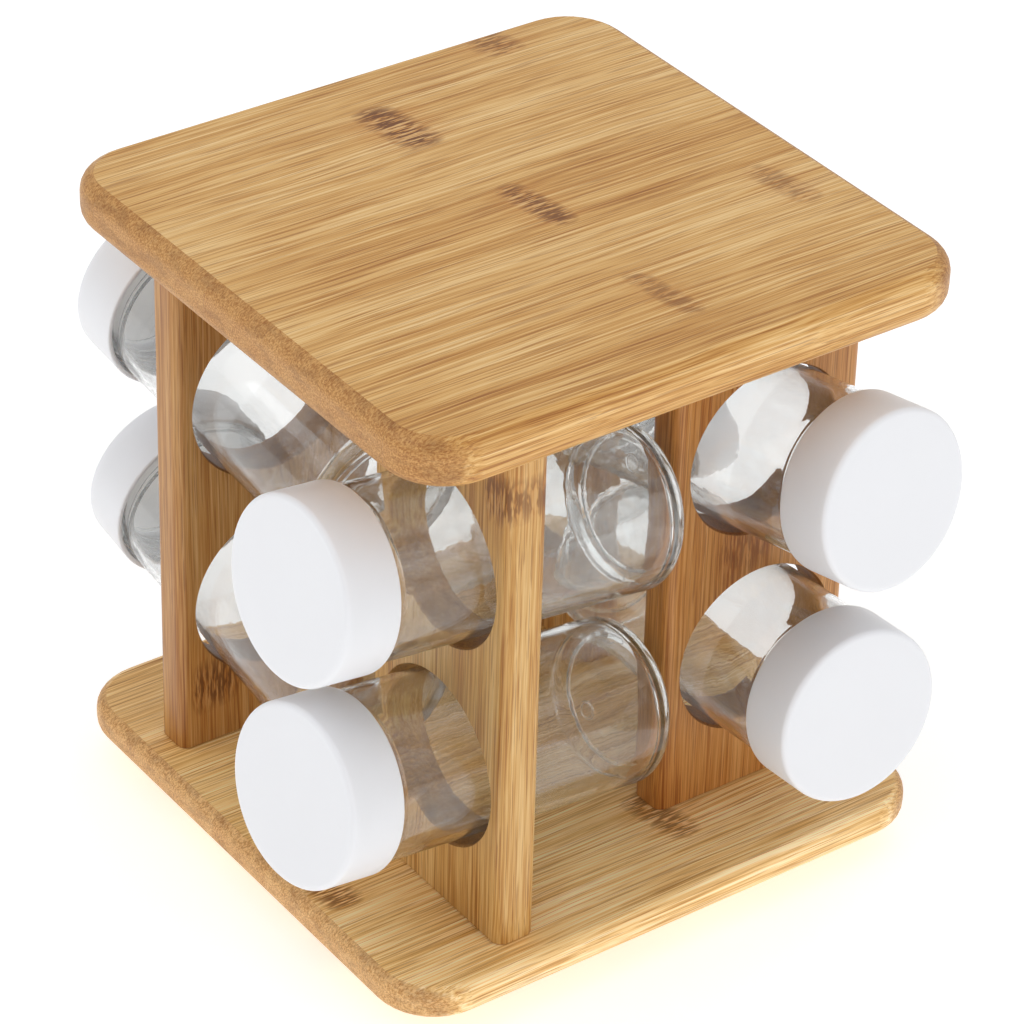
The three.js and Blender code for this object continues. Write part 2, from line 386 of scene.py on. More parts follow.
# How much of a knot, and of the stain round it, there is at a spot
def knotsAt(look, across, along, marks):
    values = bambooLook
    knots, smears = 0, 0
    for markAcross, markAlong, wide, long, strength in marks:
        off = across - markAcross
        sideways = abs(off / wide) ** 6
        lengthways = abs((along - markAlong + off * values["knotSkew"]) / long) ** 2
        knot = look.node("ShaderNodeClamp", {}, [values["knotFill"] - sideways - lengthways])
        stain = 1 - sideways - lengthways * values["smearReach"]
        smear = look.node("ShaderNodeClamp", {}, [stain])
        knots = look.node("ShaderNodeMath", {"operation": "MAXIMUM"}, [knot * strength, knots])
        smears = look.node("ShaderNodeMath", {"operation": "MAXIMUM"}, [smear * strength, smears])
    return knots, smears


# axes names the directions across the strips, through them and along the grain
def bamboo(name, axes, seed, marks, tintAndPaintedLight, firstSeam=0.0):
    values = bambooLook
    look = Look(name)
    place = look.place()
    across, deep, along = (place[axis] for axis in axes)

    swayAcross, swayAlong = values["swayGrain"]
    swaySpot = look.vector(across * swayAcross, seed, along * swayAlong)
    sway = look.grainy(swaySpot, 1, 2) - 0.5
    swayed = across + sway * (2 * values["sway"])
    inStrips = (across - firstSeam) / values["stripWidth"]
    strip = look.node("ShaderNodeMath", {"operation": "FLOOR"}, [inStrips])
    stripTone = look.node("ShaderNodeTexWhiteNoise", {"noise_dimensions": "1D"},
                          {"W": strip + seed})
    shifted = swayed + stripTone * 53      # no two strips share their fibres

    spot = (shifted, deep, along)
    bands = woodGrain(look, "bands", spot, seed)
    lines = woodGrain(look, "lines", spot, seed)
    pores = woodGrain(look, "pores", spot, -seed)
    clouds = woodGrain(look, "clouds", (across, deep, along), seed)

    tone = values["tone"] + (bands - 0.5) * values["bandTone"] + (lines - 0.5) * values["lineTone"]
    tone = tone + (stripTone - 0.5) * values["stripTone"] + (clouds - 0.5) * values["cloudTone"]
    colour = look.node("ShaderNodeValToRGB", {"stops": [
        (0.16, values["deepest"]),
        (0.36, values["amber"]),
        (0.58, values["straw"]),
        (0.84, values["pale"]),
    ]}, [tone])
    fine = 1 - look.stepped(pores, *values["poreStep"])
    colour = look.mixed(fine * values["poreDark"], colour, values["fibre"])

    # Seams between strips
    inStrip = look.node("ShaderNodeMath", {"operation": "FRACT"}, [inStrips])
    fromMiddle = abs(inStrip - 0.5) * values["stripWidth"]
    edge = values["stripWidth"] / 2
    seam = look.stepped(fromMiddle, edge - values["seam"], edge)
    colour = look.mixed(seam * values["seamDark"], colour, values["fibre"])

    # Knots, where the cane had its joints
    knots, smears = knotsAt(look, across, along, marks)
    dashes = woodGrain(look, "dashes", (swayed, deep, along))
    darkDash = look.stepped(dashes, 0.45, 0.55)
    paleDash = 1 - look.stepped(dashes, 0.36, 0.45)
    stain = smears * (1 - look.stepped(lines, 0.4, 0.62)) * values["smearTone"]
    colour = look.mixed(stain, colour, values["smear"])
    colour = look.mixed(knots * values["knotTone"], colour, values["smear"])
    colour = look.mixed(knots * darkDash * values["dashDark"], colour, values["knot"])
    colour = look.mixed(knots * paleDash * values["dashPale"], colour, values["pale"])

    # End grain: fibres cut across show as dots
    normal = look.node("ShaderNodeTexCoord", {}, {}, "Normal")
    facing = look.node("ShaderNodeSeparateXYZ", {}, [normal], axes[2])
    end = look.stepped(abs(facing), *values["endFacing"])
    dots = woodGrain(look, "dots", spot)
    patches = woodGrain(look, "patches", (across, deep, along), seed)
    endTone = look.mixed(look.stepped(dots, 0.42, 0.58), values["endPale"], values["endDeep"])
    darker = look.mixed(1.0, colour, values["endGrain"], "MULTIPLY")
    ended = look.mixed(values["endDots"], darker, endTone)
    patch = look.stepped(patches, 0.46, 0.66) * values["patchDark"]
    ended = look.mixed(patch, ended, values["knot"])
    colour = look.mixed(end * values["endDark"], colour, ended)
    # The tint multiplies the colour. It sets the wood's tone, and on the base board and the uprights it is also
    # painted light: it brightens the base and darkens the uprights by how the light falls on them.
    colour = look.mixed(1.0, colour, tintAndPaintedLight, "MULTIPLY")

    roughness = values["roughness"] + (lines - 0.5) * 0.25 + end * 0.12 + (clouds - 0.5) * 0.1
    height = lines * 0.6 + pores * 0.4 - knots * darkDash * 0.5 - seam * 0.8
    return look.surfaced({
        "Base Color": colour,
        "Roughness": roughness,
        "Normal": look.bumped(height, values["bump"], 0.7),
        "Coat Weight": values["coat"],
        "Coat Roughness": 0.3,
        "Specular IOR Level": 0.42,
    })


print("bamboo ready")


# A mark is a knot: across, along, half its width, half its length and its strength
topBoard = {
    "material": "BambooTop",
    "seed": 3.1,
    "corner": 18.0,
    "round": 5.0,
    "firstAngle": 15,      # where the round-over breaks from the flat face, in degrees
    "firstSeam": -65.0,
    "tintAndPaintedLight": (1.14, 1.07, 0.90, 1),
    "marks": [(-51.7, 0, 13.4, 7, 1.0), (1.3, 7, 13.0, 5, 0.9), (-78, 48, 9, 7, 0.7),
              (27, 67, 12.5, 5, 0.5), (54, 8, 13.2, 4, 0.55)],
}

baseBoard = {
    "material": "BambooBase",
    "seed": 7.4,
    "corner": 18.0,
    "round": 3.5,
    "firstAngle": 12,
    "firstSeam": 41.0,
    # Painted light: the base board's tint brightens it well past the top board's, standing in for the light that
    # reaches it between the boards.
    "tintAndPaintedLight": (1.48, 1.57, 1.66, 1),
    "marks": [(54, 16, 12, 6, 0.8), (32, -76, 9, 6, 0.9)],
    "countersink": {"radius": 4.3, "deep": 3.2, "shank": 2.15},
    "rivetRecess": {"radius": 9.0, "deep": 2.0},
    "pilot": {"radius": 2.05, "deep": 6.7},
}

dowelHole = {"radius": 3.15, "deepInTop": 8.3, "deepInUpright": 10.3}


# (inset, height) rows up a board's edge, rounded above and below
def edgeRows(thickness, values):
    start = math.radians(values["firstAngle"])
    radius, steps = values["round"], 8
    angles = [start + (circle / 4 - start) * i / steps for i in range(steps + 1)]
    upper = [(radius * (1 - math.sin(a)), thickness - radius * (1 - math.cos(a))) for a in angles]
    dropped = thickness - upper[0][1]
    upper = [(inset, height + dropped * (i == 0)) for i, (inset, height) in enumerate(upper)]
    flat = radius + 0.8     # a narrow flat row keeps the shading even
    top = [(flat, thickness)] + upper
    bottom = [(inset, thickness - height) for inset, height in top]
    return bottom + top[::-1]


def board(node, name, values, material):
    centre, size = placeOf(node)
    mesh = slab(size.x, size.y, values["corner"], edgeRows(size.z, values))
    made = asObject(name, mesh, moved(centre.x, centre.y, centre.z - size.z / 2))
    cutters = boardCutters(node, centre.z - size.z / 2, size.z, values)
    return settled(carved(made, cutters), node, material, 12, True)


def drilled(outline, x, y, z, sides=40):
    return asObject("Cutter", spun(outline, sides), moved(x, y, z))


def boardCutters(node, bottom, thickness, values):
    cutters = []
    if node == "top_board":
        radius, deep = dowelHole["radius"], dowelHole["deepInTop"]
        for k in (1, 2, 3, 4):
            centre, size = placeOf(f"dowel_{k}")
            outline = [(0, -1), (radius, -1), (radius, deep), (0, deep)]
            cutters.append(drilled(outline, centre.x, centre.y, bottom))
        return cutters
    sink, recess, pilot = values["countersink"], values["rivetRecess"], values["pilot"]
    for k in (1, 2, 3, 4):
        for i in (1, 2):
            centre, size = placeOf(f"upright_screw_{k}_{i}")
            outline = [(0, -1), (sink["radius"], -1), (sink["radius"], 0.2),
                       (sink["shank"], sink["deep"]), (sink["shank"], thickness + 1),
                       (0, thickness + 1)]
            cutters.append(drilled(outline, centre.x, centre.y, bottom))
        centre, size = placeOf(f"plate_screw_{k}")
        outline = [(0, -1), (pilot["radius"], -1), (pilot["radius"], pilot["deep"]),
                   (0, pilot["deep"] + 1)]
        cutters.append(drilled(outline, centre.x, centre.y, bottom))
    outline = rounded([(0, -1), (recess["radius"], -1), (recess["radius"], recess["deep"], 0.5),
                       (0, recess["deep"])])
    cutters.append(drilled(outline, 0, 0, bottom, 64))
    return cutters


for node, name, values in (("top_board", "TopBoard", topBoard),
                           ("base_board", "BaseBoard", baseBoard)):
    wood = bamboo(values["material"], "XZY", values["seed"], values["marks"], values["tintAndPaintedLight"],
                  values["firstSeam"])
    board(node, name, values, wood)
print("boards made")


uprights = {
    "seed": 11.3,
    "nextSeed": 2.7,
    "corner": 3.2,
    "endChamfer": 0.3,
    "rimEase": 0.5,
    "rimRound": 1.2,
    "screwHole": {"radius": 2.15, "deep": 23.0},
    "marks": {
        1: [(71, 155, 6, 8, 0.8), (28, 44, 8, 9, 0.6)],
        2: [(40, 96, 9, 9, 0.5), (66, 28, 7, 8, 0.6)],
        3: [(-48, 60, 9, 9, 0.8), (-26, 150, 8, 8, 0.8)],
        4: [(-65, 38, 8, 9, 0.9), (-30, 128, 8, 9, 0.7)],
    },
    # Each upright's tint darkens and reddens its bamboo by its own amount. This is partly the wood's own tone and
    # partly painted shade, for how the light falls on that upright under the top board.
    "tintAndPaintedLight": {
        1: (0.95, 0.86, 0.66, 1),
        2: (0.88, 0.62, 0.38, 1),
        3: (0.92, 0.76, 0.54, 1),
        4: (0.74, 0.58, 0.41, 1),
    },
}


# Where the jar's axis goes through the middle of its upright, in millimetres
def holeCentre(label, middle, normalAxis):
    joint = jointOf[f"lid_{label}_turn"]
    start = Vector(joint["pos_m"]) / millimetre
    axis = Vector(joint["axis"])
    return start + axis * (middle[normalAxis] - start[normalAxis]) / axis[normalAxis]


def upright(k):
    node = f"upright_{k}"
    centre, size = placeOf(node)
    turned = size.x < size.y
    quarter = Matrix.Rotation(circle / 4 if turned else 0, 4, "Z")
    normalAxis = 0 if turned else 1
    width, thickness = max(size.x, size.y), min(size.x, size.y)
    chamfer = uprights["endChamfer"]
    profile = [(chamfer, 0), (0, chamfer), (0, size.z - chamfer), (chamfer, size.z)]
    mesh = slab(width, thickness, uprights["corner"], profile, 7)
    made = asObject(f"Upright{k}", mesh, moved(centre.x, centre.y, centre.z - size.z / 2) @ quarter)

    corners = [v.co / millimetre for v in frame["nodes"][node].data.vertices]
    ease = uprights["rimEase"]
    half = thickness / 2
    cutters = []
    for level in ("upper", "lower"):
        hole = holeCentre(f"{k}_{level}", centre, normalAxis)
        flat = [Vector((c.y if turned else c.x, c.z)) for c in corners]
        middle = Vector((hole.y if turned else hole.x, hole.z))
        radius = min((c - middle).length for c in flat)
        inner, blend = half - ease * 1.6, uprights["rimRound"]
        side = rounded([(radius + ease + 1, -half - 1), (radius + ease, -half, 0.01),
                        (radius, -inner, blend), (radius, inner, blend),
                        (radius + ease, half, 0.01), (radius + ease + 1, half + 1)], 3)
        outline = [(0, -half - 1), *side, (0, half + 1)]
        aim = quarter @ Matrix.Rotation(circle / 4, 4, "X")
        cutters.append(asObject("Cutter", spun(outline, 96), moved(*hole) @ aim))
    bottom, top = centre.z - size.z / 2, centre.z + size.z / 2
    screw = uprights["screwHole"]
    for i in (1, 2):
        spot, _ = placeOf(f"upright_screw_{k}_{i}")
        outline = [(0, -1), (screw["radius"], -1), (screw["radius"], screw["deep"]),
                   (0, screw["deep"] + 1)]
        cutters.append(drilled(outline, spot.x, spot.y, bottom, 20))
    spot, _ = placeOf(f"dowel_{k}")
    radius, deep = dowelHole["radius"], dowelHole["deepInUpright"]
    outline = [(0, -deep), (radius, -deep), (radius, 1), (0, 1)]
    cutters.append(drilled(outline, spot.x, spot.y, top, 24))

    axes = "YXZ" if turned else "XYZ"
    seed = uprights["seed"] + uprights["nextSeed"] * k
    look = bamboo(f"BambooUpright{k}", axes, seed, uprights["marks"][k], uprights["tintAndPaintedLight"][k])
    return settled(carved(made, cutters), node, look, 16, True)


for k in (1, 2, 3, 4):
    upright(k)
print("uprights made")


# Heights are from the jar's foot, along its own axis
jar = {
    "radius": 22.95,
    "heel": 2.8,
    "body": 92.0,
    "shoulder": 2.0,
    "neck": 21.4,
    "rim": 106.3,
    "neckBore": 19.8,
    "neckBoreFrom": 91.2,
    "bore": 21.35,
    "boreTo": 90.0,
    "floor": 3.1,
    "punt": 0.9,
    "sides": 96,
    "uneven": (6, 88, 90),      # the wall's foot, and its top outside and inside
    "wave": 0.05,               # how uneven the inside of the wall is
    "outerWave": 0.03,
    "knurl": (18.0, 20.5, 0.12),    # from and to which radius, and how tall
    "midNeck": 21.0,            # between the inside and the outside of the neck
    "midWall": 21.6,
    "thread": {"pitch": 3.0, "start": 95.2, "turns": 2.6, "ridge": 1.35, "wide": 0.55,
               "fade": 0.12},
    "ringMark": {"radius": 2.3, "thick": 0.35, "x": 9.0, "y": 7.5},
    "glass": paint(253, 254, 254),
    "through": paint(251, 252, 252),
    "tinge": paint(200, 226, 214),
    "absorption": 2.0,
    "haze": 0.08,
}


# Height of a thread's ridge at a place on a neck or in a lid
def ridge(height, angle, start, thread):
    best = 0.0
    for turn in range(math.ceil(thread["turns"]) + 1):
        along = angle / circle + turn
        if 0 <= along <= thread["turns"]:
            off = (height - start - thread["pitch"] * along) / thread["wide"]
            fade = min(1, along / thread["fade"], (thread["turns"] - along) / thread["fade"])
            best = max(best, fade / (1 + off ** 4))
    return best if best > 0.02 else 0.0


def jarSurface(radius, height, index):
    angle = circle * index / jar["sides"]
    around = Vector((math.cos(angle), math.sin(angle), height * 0.03))
    thread = jar["thread"]
    foot, outerTop, innerTop = jar["uneven"]
    knurlFrom, knurlTo, knurlTall = jar["knurl"]
    if height > jar["body"] + 1 and radius > jar["midNeck"]:
        return radius + thread["ridge"] * ridge(height, angle, thread["start"], thread), height
    if height < 0.2 and knurlFrom < radius < knurlTo:
        return radius, height + knurlTall * (index % 2)
    if foot < height < innerTop and radius < jar["midWall"]:
        return radius + jar["wave"] * (noise.noise(around * 1.7) - 0.5), height
    if foot < height < outerTop:
        away = Vector((4, 4, 4))
        return radius + jar["outerWave"] * (noise.noise(around * 1.3 + away) - 0.5), height
    return radius, height


def jarPattern():
    radius, neck, rim, punt = jar["radius"], jar["neck"], jar["rim"], jar["punt"]
    outside = rounded([(0, punt + 0.2), (9, punt + 0.1, 6), (17.2, punt, 2.5),
                       (18.8, 0.05, 1.0), (radius, 0.05, jar["heel"]), (radius, 40)], 8)
    wall = divided([(radius, 40), (radius, 88)], 4)
    shoulder = rounded([(radius, 88), (radius, jar["body"], jar["shoulder"]),
                        (neck, jar["body"] + 0.2, 0.6), (neck, 94)], 7)
    threads = divided([(neck, 94), (neck, 105)], 0.33)
    lip = rounded([(neck, 105), (neck, rim, 0.8), (jar["neckBore"], rim, 0.7),
                   (jar["neckBore"], 98)], 6)
    inside = rounded([(jar["neckBore"], 98), (jar["neckBore"], jar["neckBoreFrom"], 0.8),
                      (jar["bore"], jar["boreTo"], 1.6), (jar["bore"], 80)], 7)
    bore = divided([(jar["bore"], 80), (jar["bore"], 12)], 4)
    floor = rounded([(jar["bore"], 12), (jar["bore"], jar["floor"], 2.6),
                     (10, jar["floor"] + 0.1, 9), (0, jar["floor"] + 0.2)], 9)
    low = divided(outside[-2:], 4)[1:]
    outline = outside[:-1] + low + wall[1:] + shoulder[1:] + threads[1:] + lip[1:]
    outline += inside[1:] + bore[1:] + floor[1:]
    made = asObject("JarPattern", spun(outline, jar["sides"], jarSurface))
    mark = jar["ringMark"]
    section = [(mark["radius"] + mark["thick"] * math.cos(circle * i / 12),
                mark["thick"] * math.sin(circle * i / 12)) for i in range(12)]
    spot = moved(mark["x"], mark["y"], punt + 0.12)
    ring = asObject("Mark", spun(section, 36, None, True), spot)
    return carved(made, [ring], "UNION")


# Clear glass: shadows go straight through, and thick parts look faintly green
def glass():
    look = Look("JarGlass")
    place = look.place()
    spot = look.vector(place["X"], place["Y"], place["Z"])
    ripples = look.grainy(spot, 0.09, 2)
    specks = look.grainy(spot, 0.7, 2)
    smears = look.stepped(look.grainy(spot, 0.045, 3), 0.45, 0.75)
    height = ripples + specks * 0.06
    clear = look.node("ShaderNodeBsdfPrincipled", {}, {
        "Base Color": jar["glass"],
        "Roughness": smears * 0.02,
        "IOR": 1.5,
        "Transmission Weight": 1.0,
        "Normal": look.bumped(height, 0.3, 0.25),
    })
    through = look.node("ShaderNodeBsdfTransparent", {}, {"Color": jar["through"]})
    shadow = look.node("ShaderNodeLightPath", {}, {}, "Is Shadow Ray")
    clear = look.node("ShaderNodeMixShader", {}, [jar["haze"], clear, through])
    shader = look.node("ShaderNodeMixShader", {}, [shadow, clear, through])
    volume = look.node("ShaderNodeVolumeAbsorption", {},
                       {"Color": jar["tinge"], "Density": jar["absorption"]})
    look.node("ShaderNodeOutputMaterial", {}, {"Surface": shader, "Volume": volume})
    return look.material


# Heights are from the jar's foot here too
lid = {
    "radius": 24.78,
    "bottom": 92.6,
    "top": 109.09,
    "dish": ((0, 0.05), (8, 0.04), (16, 0.01)),     # how low the face is at a radius
    "bore": 23.3,
    "ceiling": 107.5,
    "edge": 1.5,
    "rim": 0.5,
    "threadSpan": (93.2, 106.0),
    "threadDeep": 1.2,
    "threadTurns": 2.3,
    "sides": 96,
    "colour": paint(237, 238, 242),
    "broadColour": paint(233, 234, 238),
    "scuffColour": paint(212, 212, 214),
}

seal = {
    "radius": 22.95,
    "bottom": 106.4,
    "top": 107.4,
    "room": 0.02,
    "ring": (19.9, 21.6, 0.22),
    "colour": paint(232, 231, 228),
    "cloudColour": paint(222, 219, 212),
    "glow": 0.28,          # stands for the light that the thin lid lets through
}


# The lid's thread runs half a pitch off the jar's
def lidSurface(radius, height, index):
    angle = circle * index / lid["sides"]
    thread = {**jar["thread"], "turns": lid["threadTurns"]}
    low, high = lid["threadSpan"]
    if low < height < high and radius < lid["bore"] + 0.3:
        start = thread["start"] + thread["pitch"] / 2
        return radius - lid["threadDeep"] * ridge(height, angle, start, thread), height
    return radius, height


def lidPattern():
    radius, bore, top = lid["radius"], lid["bore"], lid["top"]
    bottom, ceiling = lid["bottom"], lid["ceiling"]
    face = [(at, top - low) for at, low in lid["dish"]]
    outside = rounded([face[-1], (radius - 0.1, top, lid["edge"]), (radius, bottom, lid["rim"]),
                       (bore, bottom, 0.4), (bore, 93.4)], 7)
    threads = divided([(bore, 93.4), (bore, 105.6)], 0.33)
    inside = rounded([(bore, 105.6), (bore, ceiling, 0.6), (6, ceiling, 0.5),
                      (0, ceiling - 0.15)], 4)
    outline = face + outside[1:] + threads[1:] + inside[1:]
    return asObject("LidPattern", spun(outline, lid["sides"], lidSurface))


def sealPattern():
    radius, low, high = seal["radius"], seal["bottom"] + seal["room"], seal["top"] - seal["room"]
    inner, outer, tall = seal["ring"]
    raised = seal["bottom"] + tall
    outline = rounded([(0, low), (inner - 0.4, low, 0.2), (inner, raised, 0.2),
                       (outer, raised, 0.2), (outer + 0.4, low, 0.2), (radius, low, 0.25),
                       (radius, high, 0.25), (0, high)], 3)
    return asObject("SealPattern", spun(outline, 72))


def lidPlastic():
    look = Look("LidPlastic")
    place = look.place()
    spot = look.vector(place["X"], place["Y"], place["Z"])
    fine = look.grainy(spot, 2.2, 3)
    broad = look.grainy(spot, 0.035, 2)
    longer = look.vector(place["X"] * 0.3, place["Y"], place["Z"])
    scuffs = look.stepped(look.grainy(longer, 0.9, 4, 0.7), 0.62, 0.8)
    colour = look.mixed(broad * 0.5, lid["colour"], lid["broadColour"])
    colour = look.mixed(scuffs * 0.12, colour, lid["scuffColour"])
    return look.surfaced({
        "Base Color": colour,
        "Roughness": 0.34 + fine * 0.08 + scuffs * 0.1,
        "Normal": look.bumped(fine, 0.02, 0.5),
        "Subsurface Weight": 0.5,
        "Subsurface Radius": (1, 1, 1),
        "Subsurface Scale": 0.003,
        "Specular IOR Level": 0.45,
    })


def sealFoam():
    look = Look("SealFoam")
    place = look.place()
    spot = look.vector(place["X"], place["Y"], place["Z"])
    cells = look.node("ShaderNodeTexVoronoi", {}, {"Vector": spot, "Scale": 1.6})
    cloud = look.grainy(spot, 0.12, 3)
    return look.surfaced({
        "Base Color": look.mixed(cloud, seal["colour"], seal["cloudColour"]),
        "Emission Color": (1, 1, 1, 1),
        "Emission Strength": seal["glow"],
        "Roughness": 0.7 + cells * 0.15,
        "Normal": look.bumped(cells, 0.06, 0.6),
    })


jarMaster, lidMaster, sealMaster = jarPattern(), lidPattern(), sealPattern()
jarMaterial, lidMaterial, sealMaterial = glass(), lidPlastic(), sealFoam()
for number, label in enumerate(jarLabels):
    spot = jarPlace(label, 0.9 + 2.3 * number)      # each jar is turned another way
    name = label.replace("_upper", "Upper").replace("_lower", "Lower")
    settled(copied(jarMaster, f"Jar{name}", spot), f"jar_{label}", jarMaterial, 50)
    settled(copied(lidMaster, f"Lid{name}", spot), f"lid_{label}", lidMaterial, 40)
    settled(copied(sealMaster, f"Seal{name}", spot), f"seal_{label}", sealMaterial, 40)
for master in (jarMaster, lidMaster, sealMaster):
    bpy.data.objects.remove(master)
print("jars and lids made")


plates = {
    "thickness": 1.5,
    "edge": 0.35,
    "hole": 5.3,
    "race": 37.0,
    "raceHalf": 1.7,
    "raceDeep": 0.5,
    "accessHole": 4.5,
    "screwHole": 2.05,
    "light": paint(196, 200, 203),
    "dark": paint(168, 172, 176),
    "grime": paint(96, 94, 90),
}

rivet = {"radius": 5.0, "bore": 3.4, "flange": 8.0, "lip": 0.9}
cage = {
    "inner": 33.5,
    "outer": 40.5,
    "thickness": 1.2,
    "edge": 0.25,
    "room": 0.3,
    "light": paint(72, 76, 82),
    "dark": paint(58, 61, 66),
}
balls = {"sides": 32, "steps": 20, "light": paint(205, 208, 212), "dark": paint(184, 187, 191)}


def metal(name, light, dark, roughness, scale):
    look = Look(name)
    place = look.place()
    spot = look.vector(place["X"], place["Y"], place["Z"])
    mottle = look.grainy(spot, 0.09 * scale, 4, 0.6)
    brushed = look.vector(place["X"] * 3, place["Y"] * 0.15, place["Z"] * 3)
    scratches = look.grainy(brushed, 1.2, 4, 0.7)
    grime = look.stepped(look.grainy(spot, 0.05 * scale, 4), 0.5, 0.75)
    colour = look.mixed(look.stepped(mottle, 0.3, 0.7), light, dark)
    return look.surfaced({
        "Base Color": look.mixed(grime * 0.25, colour, plates["grime"]),
        "Metallic": 1.0,
        "Roughness": roughness + (mottle - 0.5) * 0.2 + (scratches - 0.5) * 0.15,
        "Normal": look.bumped(scratches, 0.015, 0.6),
    })


def plastic(name, light, dark, roughness):
    look = Look(name)
    place = look.place()
    spot = look.vector(place["X"], place["Y"], place["Z"])
    fine = look.grainy(spot, 1.8, 3)
    broad = look.grainy(spot, 0.1, 3)
    return look.surfaced({
        "Base Color": look.mixed(broad, light, dark),
        "Roughness": roughness + (fine - 0.5) * 0.2 + (broad - 0.5) * 0.15,
        "Normal": look.bumped(fine, 0.05, 0.6),
    })


def plateOutline(radius):
    thick, edge = plates["thickness"], plates["edge"]
    race, half = plates["race"], plates["raceHalf"]
    groove = [(race + half * math.cos(a), thick - plates["raceDeep"] * math.sin(a))
              for a in (circle / 2 * i / 10 for i in range(1, 10))]
    corners = [(plates["hole"], 0, edge), (radius, 0, edge), (radius, thick, edge),
               (race + half, thick), *groove, (race - half, thick), (plates["hole"], thick, edge)]
    return rounded(corners, 4, True)


def plate(node, name, flipped, cutters, material):
    centre, size = placeOf(node)
    spot = moved(centre.x, centre.y, centre.z - size.z / 2)
    if flipped:
        upsideDown = Matrix.Rotation(circle / 2, 4, "X")
        spot = moved(centre.x, centre.y, centre.z + size.z / 2) @ upsideDown
    made = asObject(name, spun(plateOutline(size.x / 2), 128, None, True), spot)
    return settled(carved(made, cutters), node, material, 35, True)


def throughHole(node, radius, z):
    centre, _ = placeOf(node)
    outline = [(0, -3), (radius, -3), (radius, 3), (0, 3)]
    return drilled(outline, centre.x, centre.y, z, 36)


plateSteel = metal("TurntableSteel", plates["light"], plates["dark"], 0.36, 1)
lowerCentre, _ = placeOf("turntable_lower_plate")
upperCentre, _ = placeOf("turntable_upper_plate")
plate("turntable_lower_plate", "TurntableLowerPlate", False,
      [throughHole("plate_screw_1", plates["accessHole"], lowerCentre.z)], plateSteel)
plate("turntable_upper_plate", "TurntableUpperPlate", True,
      [throughHole(f"plate_screw_{i}", plates["screwHole"], upperCentre.z) for i in (1, 2, 3, 4)],
      plateSteel)

rivetCentre, rivetSize = placeOf("turntable_rivet")
tall, lip = rivetSize.z, rivet["lip"]
rivetOutline = rounded([
    (rivet["bore"], 0, 0.3), (rivet["flange"], 0, 0.4), (rivet["flange"], lip, 0.35),
    (rivet["radius"], lip, 0.2), (rivet["radius"], tall - lip, 0.2),
    (rivet["flange"], tall - lip, 0.35), (rivet["flange"], tall, 0.4), (rivet["bore"], tall, 0.3),
], 5, True)
settled(asObject("TurntableRivet", spun(rivetOutline, 64, None, True),
                 moved(0, 0, rivetCentre.z - tall / 2)), "turntable_rivet", plateSteel, 40)

cageCentre, _ = placeOf("ball_cage")
half, edge = cage["thickness"] / 2, cage["edge"]
cageOutline = rounded([(cage["inner"], -half, edge), (cage["outer"], -half, edge),
                       (cage["outer"], half, edge), (cage["inner"], half, edge)], 4, True)
cageMade = asObject("BallCage", spun(cageOutline, 96, None, True), moved(0, 0, cageCentre.z))
ballSteel = metal("BallSteel", balls["light"], balls["dark"], 0.16, 3)
pockets = []
for i in range(1, 7):
    centre, size = placeOf(f"ball_{i}")
    radius = size.z / 2
    angles = [circle / 2 * j / balls["steps"] for j in range(balls["steps"] + 1)]
    arc = [(radius * math.sin(angle), -radius * math.cos(angle)) for angle in angles]
    ball = asObject(f"Ball{i}", spun(arc, balls["sides"]), moved(*centre))
    settled(ball, f"ball_{i}", ballSteel, 60)
    room = radius + cage["room"]
    pockets.append(drilled([(0, -2), (room, -2), (room, 2), (0, 2)], centre.x, centre.y,
                           centre.z, 36))
settled(carved(cageMade, pockets), "ball_cage",
        plastic("CagePlastic", cage["light"], cage["dark"], 0.5), 35, True)
print("turntable made")


screws = {
    "sides": 24,
    "threadDeep": 0.35,
    "threadSharp": 5,
    "point": 2.2,          # length of the point, in shank radii
    "tip": (0.25, 0.3),
    "plain": 0.5,          # the very tip has no thread
    "cross": {"reach": 1.9, "blade": 0.42, "deep": 1.5, "taper": 0.45},
    "light": paint(206, 205, 198),
    "dark": paint(184, 180, 168),
}

plateScrew = {
    "head": [(0, 0), (3.55, 0.15, 1.0), (3.55, 2.0, 0.25), (1.55, 2.0)],
    "steps": 5,
    "shank": 1.9,
    "threadFrom": 2.0,
    "pitch": 1.3,
}

uprightScrew = {
    "head": [(0, 0), (3.95, 0, 0.15), (2.0, 2.9, 0.4), (2.0, 8.0), (1.65, 8.3)],
    "steps": 4,
    "shank": 2.0,
    "threadFrom": 8.3,
    "pitch": 1.8,
}


# Two cutters for the cross in a screw's head, which faces -Z
def crossCutters(place):
    cross = screws["cross"]
    cutters = []
    for turn in (0, 1):
        mesh = bmesh.new()
        corners = []
        for height, shrink in ((-1, 1), (cross["deep"], cross["taper"])):
            long, thin = cross["reach"] * shrink, cross["blade"]
            ring = [(long, thin), (-long, thin), (-long, -thin), (long, -thin)]
            if turn:
                ring = [(-y, x) for x, y in ring]
            corners.append([mesh.verts.new((x, y, height)) for x, y in ring])
        joined(mesh, corners)
        mesh.faces.new(reversed(corners[0]))
        mesh.faces.new(corners[1])
        bmesh.ops.recalc_face_normals(mesh, faces=mesh.faces)
        cutters.append(asObject("Cutter", mesh, place))
    return cutters


